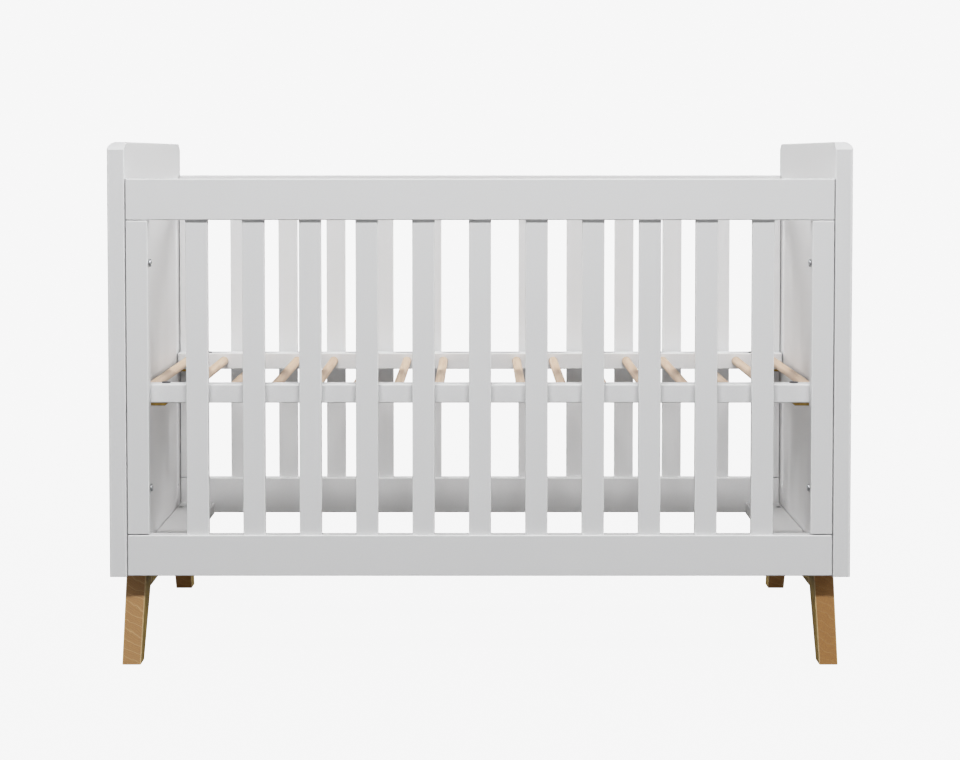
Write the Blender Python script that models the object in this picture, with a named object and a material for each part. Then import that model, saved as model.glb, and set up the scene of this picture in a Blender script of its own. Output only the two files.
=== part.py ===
"""Baby cot for a 600 x 1200 mm mattress: solid end panels, slatted sides, splayed
wooden leg frames and a dowelled bed base that bolts in at three heights.

Metres, +Z up. X runs along the length, -Y is the front. The origin is on the floor,
under the middle of the cot.
"""

from math import cos, pi, sin

import bmesh
import bpy
from mathutils import Matrix, Vector

# Clearance left between two pieces that touch.
FIT = 0.0003

# End panels
INNER_LENGTH = 1.206
PANEL_THICK = 0.030
PANEL_DEPTH = 0.664
PANEL_BOTTOM = 0.150
PANEL_TOP = 0.893
PANEL_ROUND = 0.013
PANEL_CUT_DROP = 0.013
PANEL_CUT_RUN = 0.020

# Side frames: two rails and two stiles round eleven slats
RAIL_THICK = 0.025
RAIL_HEIGHT = 0.070
RAIL_SETBACK = 0.001
BOTTOM_RAIL_Z = 0.152
TOP_RAIL_Z = 0.7605
STILE_WIDTH = 0.040
SLAT_COUNT = 11
SLAT_PITCH = 0.0964
SLAT_WIDTH = 0.038
SLAT_THICK = 0.012
SLAT_SETBACK = 0.0050
SLAT_TENON = 0.012
SLAT_CHAMFER = 0.0015

# Boards across the bottom, one at each end
BOARD_WIDTH = 0.070
BOARD_THICK = 0.0225

# Leg frames: seen from the end, each leg leans outwards and narrows to its foot
LEG_WIDTH = 0.0345
LEG_MIDDLE_X = 0.5945
FOOT_OVERHANG = 0.005
FOOT_DEPTH = 0.037
LEG_FRONT_RUN = 0.052
LEG_BACK_RUN = 0.0815
BEAM_DROP = 0.034

# Bed base
BASE_TOP = 0.4775
BASE_RAIL_HEIGHT = 0.0315
BASE_RAIL_DEPTH = 0.038
BASE_SIDE_GAP = 0.002
BASE_END_GAP = 0.003
DOWEL_COUNT = 17
DOWEL_PITCH = 0.0727
DOWEL_DIAMETER = 0.017
DOWEL_SOCKET = 0.012
DOWEL_SIDES = 12

# Holes for the fasteners
HOLE_SIDES = 10
BOLT_HOLE = 0.0070
INSERT_HOLE = 0.0100
INSERT_DEPTH = 0.016
BARREL_NUT_HOLE = 0.0120
BARREL_NUT_INSET = 0.055
FRAME_BOLT_Z = (0.302, 0.687)
BASE_BOLT_STEPS = (0.0, 0.125, 0.250)
LEG_BOLT_HOLE = 0.0090
LEG_INSERT_DEPTH = 0.030

# Places worked out from the dimensions above
INNER_X = INNER_LENGTH / 2
OUTER_X = INNER_X + PANEL_THICK
PANEL_Y = PANEL_DEPTH / 2
SIDE_OUTER_Y = PANEL_Y - RAIL_SETBACK
SIDE_INNER_Y = SIDE_OUTER_Y - RAIL_THICK
SIDE_MIDDLE_Y = SIDE_OUTER_Y - RAIL_THICK / 2
BOTTOM_RAIL_TOP = BOTTOM_RAIL_Z + RAIL_HEIGHT
TOP_RAIL_TOP = TOP_RAIL_Z + RAIL_HEIGHT
FOOT_Y = PANEL_Y + FOOT_OVERHANG
LEG_TOP = PANEL_BOTTOM - FIT
BASE_OUTER_Y = SIDE_INNER_Y - BASE_SIDE_GAP
BASE_INNER_Y = BASE_OUTER_Y - BASE_RAIL_DEPTH
BASE_BOTTOM = BASE_TOP - BASE_RAIL_HEIGHT
BASE_MIDDLE_Z = BASE_TOP - BASE_RAIL_HEIGHT / 2
BASE_BOLT_Y = (BASE_OUTER_Y + BASE_INNER_Y) / 2
BASE_END_X = INNER_X - BASE_END_GAP
LEG_BOLT_Y = FOOT_Y - (LEG_FRONT_RUN + FOOT_DEPTH + LEG_BACK_RUN) / 2

SIDES = (("front", -1), ("rear", 1))
ENDS = (("left", -1), ("right", 1))


# ---------------------------------------------------------------- materials

def make_material(name, colour, roughness):
    material = bpy.data.materials.new(name)
    material.use_nodes = True
    shader = material.node_tree.nodes["Principled BSDF"]
    shader.inputs["Base Color"].default_value = (*colour, 1.0)
    shader.inputs["Roughness"].default_value = roughness
    shader.inputs["Metallic"].default_value = 0.0
    material.diffuse_color = (*colour, 1.0)
    return material


# ---------------------------------------------------------------- mesh tools

def add_box(mesh, low, high):
    """Add a box between two corners."""
    low, high = Vector(low), Vector(high)
    size = Matrix.Diagonal((*(high - low), 1.0))
    bmesh.ops.create_cube(mesh, size=1.0, matrix=Matrix.Translation((low + high) / 2) @ size)


def add_rod(mesh, start, end, diameter, sides):
    """Add a closed cylinder from start to end."""
    start, end = Vector(start), Vector(end)
    run = end - start
    turn = run.to_track_quat("Z", "Y").to_matrix().to_4x4()
    bmesh.ops.create_cone(
        mesh,
        cap_ends=True,
        segments=sides,
        radius1=diameter / 2,
        radius2=diameter / 2,
        depth=run.length,
        matrix=Matrix.Translation((start + end) / 2) @ turn,
    )


def add_prism(mesh, outline, travel):
    """Add the closed solid swept when a flat outline moves by the vector travel."""
    face = mesh.faces.new([mesh.verts.new(point) for point in outline])
    grown = bmesh.ops.extrude_face_region(mesh, geom=[face])
    moved = [item for item in grown["geom"] if isinstance(item, bmesh.types.BMVert)]
    bmesh.ops.translate(mesh, verts=moved, vec=travel)
    bmesh.ops.recalc_face_normals(mesh, faces=mesh.faces[:])


def chamfer_edges(mesh, along, width):
    """Take the sharp edge off every edge that runs along one axis."""
    edges = []
    for edge in mesh.edges:
        run = edge.verts[1].co - edge.verts[0].co
        if abs(run[along]) > 0.999 * run.length:
            edges.append(edge)
    bmesh.ops.bevel(mesh, geom=edges, offset=width, segments=1, affect="EDGES")


def place(name, mesh, material=None, origin=(0.0, 0.0, 0.0), parent=None):
    """Turn a mesh in world coordinates into a named object with its origin at a point."""
    bmesh.ops.translate(mesh, verts=mesh.verts[:], vec=-Vector(origin))
    data = bpy.data.meshes.new(name)
    mesh.to_mesh(data)
    mesh.free()
    thing = bpy.data.objects.new(name, data)
    bpy.context.scene.collection.objects.link(thing)
    thing.location = origin
    if material:
        data.materials.append(material)
    if parent:
        thing.parent = parent
        thing.location = Vector(origin) - parent.location
    return thing


def combine(thing, mesh, operation="DIFFERENCE"):
    """Cut a node with a mesh, which stays in the scene as a hidden tool."""
    tool = place(thing.name + "_cutter", mesh)
    tool.hide_render = True
    tool.display_type = "WIRE"
    modifier = thing.modifiers.new("Cut", "BOOLEAN")
    modifier.operation = operation
    modifier.solver = "EXACT"
    modifier.object = tool


def shade_round(thing):
    thing.data.shade_smooth()
    thing.data.set_sharp_from_angle(angle=pi / 4)


# ---------------------------------------------------------------- end panels

def panel_section(end):
    """Outline across the thickness: the outer top edge is rounded, the inner one square."""
    outer, inner = end * OUTER_X, end * INNER_X
    points = [(inner, 0.0, PANEL_BOTTOM), (outer, 0.0, PANEL_BOTTOM)]
    points += quarter_round((outer, PANEL_TOP), end, PANEL_ROUND)
    points.append((inner, 0.0, PANEL_TOP))
    return points


def quarter_round(corner, direction, radius, steps=4):
    """Points in XZ round an upper corner; direction is +1 when the corner points to +X."""
    middle_x = corner[0] - direction * radius
    middle_z = corner[1] - radius
    points = []
    for step in range(steps + 1):
        angle = pi / 2 * step / steps
        x = middle_x + direction * radius * cos(angle)
        points.append((x, 0.0, middle_z + radius * sin(angle)))
    return points


def panel_face():
    """Outline of a panel seen from the end, with a flat cut across both top corners."""
    shoulder = PANEL_TOP - PANEL_CUT_DROP
    flat = PANEL_Y - PANEL_CUT_RUN
    return [
        (-PANEL_Y, PANEL_BOTTOM),
        (PANEL_Y, PANEL_BOTTOM),
        (PANEL_Y, shoulder),
        (flat, PANEL_TOP),
        (-flat, PANEL_TOP),
        (-PANEL_Y, shoulder),
    ]


def panel_holes(end):
    """Bolt holes for the base at each height, and insert holes for the side frames."""
    mesh = bmesh.new()
    over = 0.01
    for _, side in SIDES:
        y = side * BASE_BOLT_Y
        for step in BASE_BOLT_STEPS:
            z = BASE_MIDDLE_Z - step
            start = (end * (INNER_X - over), y, z)
            add_rod(mesh, start, (end * (OUTER_X + over), y, z), BOLT_HOLE, HOLE_SIDES)
        y = side * SIDE_MIDDLE_Y
        for z in FRAME_BOLT_Z:
            start = (end * (INNER_X - over), y, z)
            add_rod(mesh, start, (end * (INNER_X + INSERT_DEPTH), y, z), INSERT_HOLE, HOLE_SIDES)
    return mesh


def make_end_panel(name, end, material):
    mesh = bmesh.new()
    outline = [(x, -PANEL_Y, z) for x, _, z in panel_section(end)]
    add_prism(mesh, outline, (0.0, PANEL_DEPTH, 0.0))
    origin = (end * (INNER_X + PANEL_THICK / 2), 0.0, PANEL_BOTTOM)
    panel = place("end_panel_" + name, mesh, material, origin)

    over = 0.01
    profile = bmesh.new()
    start_x = -OUTER_X - over
    outline = [(start_x, y, z) for y, z in panel_face()]
    add_prism(profile, outline, (2 * (OUTER_X + over), 0.0, 0.0))
    combine(panel, profile, "INTERSECT")
    combine(panel, panel_holes(end))


# ---------------------------------------------------------------- side frames

def slat_places():
    first = -(SLAT_COUNT - 1) / 2
    return [(first + number) * SLAT_PITCH for number in range(SLAT_COUNT)]


def slat_faces(side):
    """Lower and upper Y of a slat on one side."""
    outer = side * (SIDE_OUTER_Y - SLAT_SETBACK)
    inner = side * (SIDE_OUTER_Y - SLAT_SETBACK - SLAT_THICK)
    return min(outer, inner), max(outer, inner)


def side_faces(side):
    """Lower and upper Y of the rails and stiles on one side."""
    return tuple(sorted((side * SIDE_OUTER_Y, side * SIDE_INNER_Y)))


def mortises(side, low_z, high_z):
    mesh = bmesh.new()
    low_y, high_y = slat_faces(side)
    reach = SLAT_WIDTH / 2 + FIT
    for x in slat_places():
        add_box(mesh, (x - reach, low_y - FIT, low_z), (x + reach, high_y + FIT, high_z))
    return mesh


def make_side_rail(name, side, low_z, opening, material):
    """A rail with a mortise for each slat, open downwards (-1) or upwards (+1)."""
    mesh = bmesh.new()
    low_y, high_y = side_faces(side)
    length = INNER_X - FIT
    high_z = low_z + RAIL_HEIGHT
    add_box(mesh, (-length, low_y, low_z), (length, high_y, high_z))
    rail = place(name, mesh, material, (0.0, side * SIDE_MIDDLE_Y, low_z))
    mouth = high_z if opening > 0 else low_z
    deep = mouth - opening * (SLAT_TENON + FIT)
    outside = mouth + opening * SLAT_TENON
    combine(rail, mortises(side, min(deep, outside), max(deep, outside)))


def make_stile(name, side, end, material):
    mesh = bmesh.new()
    low_y, high_y = side_faces(side)
    near, far = end * (INNER_X - STILE_WIDTH), end * (INNER_X - FIT)
    low = (min(near, far), low_y, BOTTOM_RAIL_TOP + FIT)
    high = (max(near, far), high_y, TOP_RAIL_Z - FIT)
    add_box(mesh, low, high)
    middle_x = end * (INNER_X - STILE_WIDTH / 2)
    stile = place(name, mesh, material, (middle_x, side * SIDE_MIDDLE_Y, BOTTOM_RAIL_TOP))
    holes = bmesh.new()
    for z in FRAME_BOLT_Z:
        start = (middle_x - STILE_WIDTH, side * SIDE_MIDDLE_Y, z)
        add_rod(holes, start, (middle_x + STILE_WIDTH, side * SIDE_MIDDLE_Y, z), BOLT_HOLE, HOLE_SIDES)
    combine(stile, holes)


def make_slat(name, side, x, material):
    mesh = bmesh.new()
    low_y, high_y = slat_faces(side)
    low_z, high_z = BOTTOM_RAIL_TOP - SLAT_TENON, TOP_RAIL_Z + SLAT_TENON
    add_box(mesh, (x - SLAT_WIDTH / 2, low_y, low_z), (x + SLAT_WIDTH / 2, high_y, high_z))
    chamfer_edges(mesh, 2, SLAT_CHAMFER)
    place(name, mesh, material, (x, (low_y + high_y) / 2, low_z))


def make_side_frame(name, side, material):
    make_side_rail(name + "_top_rail", side, TOP_RAIL_Z, -1, material)
    make_side_rail(name + "_bottom_rail", side, BOTTOM_RAIL_Z, 1, material)
    for end_name, end in ENDS:
        make_stile(name + "_stile_" + end_name, side, end, material)
    for number, x in enumerate(slat_places(), start=1):
        make_slat(f"{name}_slat_{number:02d}", side, x, material)


# ---------------------------------------------------------------- bottom boards and legs

def make_bottom_board(name, end, material):
    """The board that stiffens the bottom and takes the two leg bolts at one end."""
    mesh = bmesh.new()
    near, far = end * (INNER_X - BOARD_WIDTH), end * (INNER_X - FIT)
    reach = SIDE_INNER_Y - FIT
    top = PANEL_BOTTOM + BOARD_THICK
    add_box(mesh, (min(near, far), -reach, PANEL_BOTTOM), (max(near, far), reach, top))
    board = place("bottom_board_" + name, mesh, material, ((near + far) / 2, 0.0, PANEL_BOTTOM))
    holes = bmesh.new()
    for _, side in SIDES:
        foot = (end * LEG_MIDDLE_X, side * LEG_BOLT_Y, PANEL_BOTTOM - BOARD_THICK)
        head = (end * LEG_MIDDLE_X, side * LEG_BOLT_Y, top + BOARD_THICK)
        add_rod(holes, foot, head, LEG_BOLT_HOLE, HOLE_SIDES)
    combine(board, holes)


def leg_back(z):
    """Distance of a leg's inner edge from the middle of the cot, at height z."""
    return FOOT_Y - FOOT_DEPTH - LEG_BACK_RUN * z / PANEL_BOTTOM


def leg_front(z):
    """Distance of a leg's outer edge from the middle of the cot, at height z."""
    return FOOT_Y - LEG_FRONT_RUN * z / PANEL_BOTTOM


def make_leg(name, side, end, material):
    mesh = bmesh.new()
    x = end * LEG_MIDDLE_X - LEG_WIDTH / 2
    outline = [
        (x, side * leg_front(0.0), 0.0),
        (x, side * leg_back(0.0), 0.0),
        (x, side * leg_back(LEG_TOP), LEG_TOP),
        (x, side * leg_front(LEG_TOP), LEG_TOP),
    ]
    add_prism(mesh, outline, (LEG_WIDTH, 0.0, 0.0))
    leg = place(name, mesh, material, (end * LEG_MIDDLE_X, side * LEG_BOLT_Y, 0.0))
    hole = bmesh.new()
    bottom = (end * LEG_MIDDLE_X, side * LEG_BOLT_Y, LEG_TOP - LEG_INSERT_DEPTH)
    mouth = (end * LEG_MIDDLE_X, side * LEG_BOLT_Y, LEG_TOP + LEG_INSERT_DEPTH)
    add_rod(hole, bottom, mouth, INSERT_HOLE, HOLE_SIDES)
    combine(leg, hole)


def make_leg_beam(name, end, material):
    """The beam between the two legs of a frame, its ends cut to the lean of the legs."""
    mesh = bmesh.new()
    x = end * LEG_MIDDLE_X - LEG_WIDTH / 2
    low_z = PANEL_BOTTOM - BEAM_DROP
    low_y, high_y = leg_back(low_z) - FIT, leg_back(LEG_TOP) - FIT
    outline = [(x, -low_y, low_z), (x, low_y, low_z), (x, high_y, LEG_TOP), (x, -high_y, LEG_TOP)]
    add_prism(mesh, outline, (LEG_WIDTH, 0.0, 0.0))
    place("leg_beam_" + name, mesh, material, (end * LEG_MIDDLE_X, 0.0, low_z))


# ---------------------------------------------------------------- bed base

def dowel_places():
    first = -(DOWEL_COUNT - 1) / 2
    return [(first + number) * DOWEL_PITCH for number in range(DOWEL_COUNT)]


def base_sockets(side):
    """Sockets for the dowels in a base rail."""
    mesh = bmesh.new()
    deep = side * (BASE_INNER_Y + DOWEL_SOCKET + FIT)
    outside = side * (BASE_INNER_Y - DOWEL_SOCKET)
    for x in dowel_places():
        start, end = (x, deep, BASE_MIDDLE_Z), (x, outside, BASE_MIDDLE_Z)
        if deep > outside:
            start, end = end, start
        add_rod(mesh, start, end, DOWEL_DIAMETER + 2 * FIT, DOWEL_SIDES)
    return mesh


def base_bolt_holes(side):
    """A bolt hole in each end of a base rail, as far as its barrel nut."""
    mesh = bmesh.new()
    y = side * BASE_BOLT_Y
    for _, end in ENDS:
        deep = (end * (INNER_X - BARREL_NUT_INSET - BARREL_NUT_HOLE), y, BASE_MIDDLE_Z)
        add_rod(mesh, deep, (end * OUTER_X, y, BASE_MIDDLE_Z), BOLT_HOLE, HOLE_SIDES)
    return mesh


def barrel_nut_holes(side):
    """Upright holes for the barrel nuts, open at the top of a base rail."""
    mesh = bmesh.new()
    y = side * BASE_BOLT_Y
    bottom = BASE_MIDDLE_Z - BARREL_NUT_HOLE / 2
    for _, end in ENDS:
        x = end * (INNER_X - BARREL_NUT_INSET)
        add_rod(mesh, (x, y, bottom), (x, y, BASE_TOP + 0.01), BARREL_NUT_HOLE, HOLE_SIDES)
    return mesh


def make_base_rail(name, side, material, parent):
    mesh = bmesh.new()
    low_y, high_y = sorted((side * BASE_OUTER_Y, side * BASE_INNER_Y))
    add_box(mesh, (-BASE_END_X, low_y, BASE_BOTTOM), (BASE_END_X, high_y, BASE_TOP))
    rail = place(name, mesh, material, (0.0, side * BASE_BOLT_Y, BASE_MIDDLE_Z), parent)
    combine(rail, base_sockets(side))
    combine(rail, barrel_nut_holes(side))
    combine(rail, base_bolt_holes(side))


def make_dowel(name, x, material, parent):
    mesh = bmesh.new()
    reach = BASE_INNER_Y + DOWEL_SOCKET
    add_rod(mesh, (x, -reach, BASE_MIDDLE_Z), (x, reach, BASE_MIDDLE_Z), DOWEL_DIAMETER, DOWEL_SIDES)
    shade_round(place(name, mesh, material, (x, 0.0, BASE_MIDDLE_Z), parent))


def make_bed_base(paint, wood):
    """The bed base hangs from an empty on the axis that it is raised and lowered along."""
    axis = bpy.data.objects.new("base_height_axis", None)
    axis.location = (0.0, 0.0, BASE_MIDDLE_Z)
    bpy.context.scene.collection.objects.link(axis)
    for name, side in SIDES:
        make_base_rail(f"base_{name}_rail", side, paint, axis)
    for number, x in enumerate(dowel_places(), start=1):
        make_dowel(f"base_dowel_{number:02d}", x, wood, axis)


# ---------------------------------------------------------------- the cot

def clear_scene():
    for thing in list(bpy.data.objects):
        bpy.data.objects.remove(thing, do_unlink=True)


def main():
    clear_scene()
    paint = make_material("painted_wood", (0.62, 0.62, 0.63), 0.45)
    leg_wood = make_material("leg_wood", (0.42, 0.25, 0.11), 0.50)
    dowel_wood = make_material("dowel_wood", (0.72, 0.53, 0.39), 0.60)

    for name, end in ENDS:
        make_end_panel(name, end, paint)
        make_bottom_board(name, end, paint)
        make_leg_beam(name, end, leg_wood)
        for side_name, side in SIDES:
            make_leg(f"leg_{side_name}_{name}", side, end, leg_wood)
    for name, side in SIDES:
        make_side_frame(name, side, paint)
    make_bed_base(paint, dowel_wood)


main()
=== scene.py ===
from math import atan2, cos, exp, pi, radians, sin, tan

import bmesh
import bpy
from mathutils import Matrix, Vector


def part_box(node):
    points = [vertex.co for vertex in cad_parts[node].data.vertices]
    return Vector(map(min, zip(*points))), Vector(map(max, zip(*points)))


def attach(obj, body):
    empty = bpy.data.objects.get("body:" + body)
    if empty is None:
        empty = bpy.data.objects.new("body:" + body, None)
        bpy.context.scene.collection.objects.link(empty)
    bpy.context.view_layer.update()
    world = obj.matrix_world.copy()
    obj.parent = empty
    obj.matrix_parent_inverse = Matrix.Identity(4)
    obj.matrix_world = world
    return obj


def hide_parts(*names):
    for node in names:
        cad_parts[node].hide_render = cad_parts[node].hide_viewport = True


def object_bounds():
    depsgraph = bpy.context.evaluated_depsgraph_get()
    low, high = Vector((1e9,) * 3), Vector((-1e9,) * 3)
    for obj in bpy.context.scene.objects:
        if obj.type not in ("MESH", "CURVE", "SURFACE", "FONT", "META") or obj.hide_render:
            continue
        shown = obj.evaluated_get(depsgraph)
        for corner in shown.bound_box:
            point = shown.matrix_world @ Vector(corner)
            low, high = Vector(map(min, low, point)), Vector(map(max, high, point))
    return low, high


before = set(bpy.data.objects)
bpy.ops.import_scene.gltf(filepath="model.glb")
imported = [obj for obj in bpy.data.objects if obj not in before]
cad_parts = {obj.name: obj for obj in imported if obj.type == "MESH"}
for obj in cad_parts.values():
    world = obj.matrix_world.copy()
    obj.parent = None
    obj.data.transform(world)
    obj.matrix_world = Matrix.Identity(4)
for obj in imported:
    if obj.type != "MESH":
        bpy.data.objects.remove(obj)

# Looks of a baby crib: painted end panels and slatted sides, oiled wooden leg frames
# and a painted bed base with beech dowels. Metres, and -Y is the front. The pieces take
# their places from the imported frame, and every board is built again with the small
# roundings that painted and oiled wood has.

cad_low, cad_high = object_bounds()

SIDES = (("front", -1), ("rear", 1))
ENDS = (("left", -1), ("right", 1))
FRAME_BODY = "crib_frame"
BASE_BODY = "bed_base"

# Roundings of the painted boards
ARC_STEPS = 4
PANEL_TOP_STEPS = 8
PANEL_EDGE_STEPS = 6
PANEL_TOP_ROUND = 0.013
PANEL_CUT_DROP = 0.013
PANEL_CUT_RUN = 0.020
PANEL_OUTER_ROUND = 0.0045
PANEL_INNER_ROUND = 0.0020
SMALL_ROUND = 0.0010
RAIL_ROUND = 0.0018
STILE_ROUND = 0.0018
SLAT_ROUND = 0.0016
BOARD_ROUND = 0.0018
END_ROUND = 0.0014
JOINT_GAP = 0.0012
LEG_ROUND = 0.0018
LEG_TAPER = 0.07
ARRIS_WIDTH = 0.0016
SHARP_ANGLE = radians(35)
NORMAL_WEIGHT = 80
FIT = 0.0003
SAME_PLACE = 1e-7
STRAIGHT_TURN = 1e-9

# How far a cutting tool reaches past a face, and into the hole before it
TOOL_REACH = 0.01
TOOL_OVERLAP = 0.001

# Holes, by diameter, and fasteners; a head is its radius and its height
BASE_BOLT_Z = (0.46175, 0.33675, 0.21175)
BASE_BOLT_Y = 0.277
BASE_BOLT_SHANK = 0.020
BOLT_HOLE = 0.0070
BOLT_HEAD = (0.0068, 0.0030)
BUTTON_SHANK = 0.0035
DOME_STEPS = 6
HEAD_SEAT = 0.0150
HEAD_SEAT_DEPTH = 0.0036
FRAME_BOLT_Z = (0.302, 0.687)
FRAME_BOLT_SHANK = 0.012
LEG_BOLT_PLACE = (0.5945, 0.25175)
LEG_BOLT_HOLE = 0.0090
LEG_BOLT_HEAD = (0.0046, 0.0040)
LEG_BOLT_SHANK = 0.010
WASHER_RADIUS = 0.0062
WASHER_THICK = 0.0012
WASHER_SHANK = 0.004
COUNTERBORE = 0.0135
COUNTERBORE_DEPTH = 0.0045
BARREL_NUT_X = 0.542
BARREL_NUT_HOLE = 0.0120
BARREL_NUT_HOLE_DROP = 0.009
BARREL_NUT_CAP = 0.0150
NUT_RISE = 0.0020
NUT_DEPTH = 0.022
NUT_ROUND = 0.0005
NUT_SLOT_LENGTH = 0.0090
NUT_SLOT_WIDTH = 0.0016
NUT_SLOT_ROUND = 0.0002
HEAD_SIDES = 48
HOLE_SIDES = 32
DRILL_SIDES = 24
NUT_SIDES = 40
DOWEL_SIDES = 40

# Joints of the slats and dowels, and the plates under the base rails
SLAT_COUNT = 11
SLAT_TENON = 0.012
DOWEL_SOCKET = 0.012
PLATE_LENGTH = 0.0635
PLATE_THICK = 0.0048
PLATE_END_GAP = 0.002
PLATE_SIDE_GAP = 0.001
PLATE_CUT = 0.004
PLATE_ROUND = 0.0004
PLATE_EDGE_ROUND = 0.0006


# ---------------------------------------------------------------- outlines and solids

def rounded(corners, radii, steps=ARC_STEPS):
    """A flat outline whose corners are arcs; a radius of 0 leaves a corner sharp."""
    outline = []
    count = len(corners)
    for number, radius in enumerate(radii):
        corner = Vector(corners[number])
        if radius == 0:
            outline.append(corner)
            continue
        before = (Vector(corners[number - 1]) - corner).normalized()
        after = (Vector(corners[(number + 1) % count]) - corner).normalized()
        half = before.angle(after) / 2
        middle = corner + (before + after).normalized() * (radius / sin(half))
        start = corner + before * (radius / tan(half)) - middle
        stop = corner + after * (radius / tan(half)) - middle
        first = atan2(start.y, start.x)
        turn = atan2(stop.y, stop.x) - first
        turn -= 2 * pi * round(turn / (2 * pi))
        for step in range(steps + 1):
            angle = first + turn * step / steps
            outline.append(middle + radius * Vector((cos(angle), sin(angle))))
    return outline


def rectangle(low, high, radius):
    """A flat rectangle with rounded corners."""
    corners = [(low[0], low[1]), (high[0], low[1]), (high[0], high[1]), (low[0], high[1])]
    return rounded(corners, [radius] * 4)


def circle(middle, diameter, sides):
    """A flat circle drawn with straight sides."""
    turns = [2 * pi * step / sides for step in range(sides)]
    return [Vector(middle) + diameter / 2 * Vector((cos(turn), sin(turn))) for turn in turns]


def sweep(outline, axis, low, high):
    """The closed solid that a flat outline leaves when it moves along one axis."""
    mesh = bmesh.new()
    across = [other for other in range(3) if other != axis]
    ring = []
    for point in outline:
        place = Vector()
        place[across[0]], place[across[1]] = point
        place[axis] = low
        ring.append(mesh.verts.new(place))
    face = mesh.faces.new(ring)
    grown = bmesh.ops.extrude_face_region(mesh, geom=[face])
    moved = [item for item in grown["geom"] if isinstance(item, bmesh.types.BMVert)]
    travel = Vector()
    travel[axis] = high - low
    bmesh.ops.translate(mesh, verts=moved, vec=travel)
    bmesh.ops.recalc_face_normals(mesh, faces=mesh.faces[:])
    return mesh


def soften_ends(mesh, axis, radius, steps=3):
    """Round the edges at both ends of a swept solid."""
    places = [vert.co[axis] for vert in mesh.verts]
    ends = (min(places), max(places))
    edges = []
    for edge in mesh.edges:
        first, second = (vert.co[axis] for vert in edge.verts)
        reach = min(abs(first - end) for end in ends)
        if max(abs(first - second), reach) < SAME_PLACE:
            edges.append(edge)
    bmesh.ops.bevel(mesh, geom=edges, offset=radius, segments=steps, profile=0.5, affect="EDGES")


def board(low, high, axis, radius, end_radius=END_ROUND):
    """A straight board along one axis, with rounded long edges and softened ends."""
    across = [other for other in range(3) if other != axis]
    outline = rectangle([low[k] for k in across], [high[k] for k in across], radius)
    mesh = sweep(outline, axis, low[axis], high[axis])
    soften_ends(mesh, axis, end_radius)
    return mesh


def node_board(node, axis, radius, joints=(0, 0, 0)):
    """The board of a CAD node; joints marks the axes along which it keeps a joint line."""
    low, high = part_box(node)
    room = JOINT_GAP * Vector(joints)
    return board(low + room, high - room, axis, radius)


def add_mesh(mesh, other):
    """Add one mesh to another, and free the other."""
    data = bpy.data.meshes.new("added")
    other.to_mesh(data)
    other.free()
    mesh.from_mesh(data)
    bpy.data.meshes.remove(data)


def add_rod(mesh, axis, middle, low, high, diameter, sides=DRILL_SIDES):
    """Add a cylinder along one axis; middle gives its place on the two other axes."""
    add_mesh(mesh, sweep(circle(middle, diameter, sides), axis, low, high))


def loose_object(name, mesh):
    """An object that holds a mesh; the bmesh it came from is freed."""
    data = bpy.data.meshes.new(name)
    mesh.to_mesh(data)
    mesh.free()
    thing = bpy.data.objects.new(name, data)
    bpy.context.scene.collection.objects.link(thing)
    return thing


def combine(mesh, tool, operation="DIFFERENCE"):
    """The mesh that an exact boolean of two meshes gives."""
    body = loose_object("boolean_body", mesh)
    cutter = loose_object("boolean_tool", tool)
    modifier = body.modifiers.new("Boolean", "BOOLEAN")
    modifier.operation = operation
    modifier.solver = "EXACT"
    modifier.object = cutter
    graph = bpy.context.evaluated_depsgraph_get()
    result = bmesh.new()
    result.from_mesh(body.evaluated_get(graph).data)
    for thing in (body, cutter):
        data = thing.data
        bpy.data.objects.remove(thing)
        bpy.data.meshes.remove(data)
    return result


def mark_arrises(mesh):
    """Give narrow faces, which are the roundings of edges, the value 1 in a layer."""
    layer = mesh.faces.layers.float.new("arris")
    for face in mesh.faces:
        longest = max(edge.calc_length() for edge in face.edges)
        face[layer] = float(face.calc_area() < ARRIS_WIDTH * longest)


def piece(name, mesh, body, material, nodes=()):
    """Turn a mesh into a finished piece that rides on a body and may replace nodes."""
    mark_arrises(mesh)
    thing = loose_object(name, mesh)
    thing.data.shade_smooth()
    thing.data.set_sharp_from_angle(angle=SHARP_ANGLE)
    thing.data.materials.append(material)
    normals = thing.modifiers.new("Flat faces stay flat", "WEIGHTED_NORMAL")
    normals.keep_sharp = True
    normals.weight = NORMAL_WEIGHT
    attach(thing, body)
    if nodes:
        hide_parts(*nodes)
    return thing


# ---------------------------------------------------------------- shader tools

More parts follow.
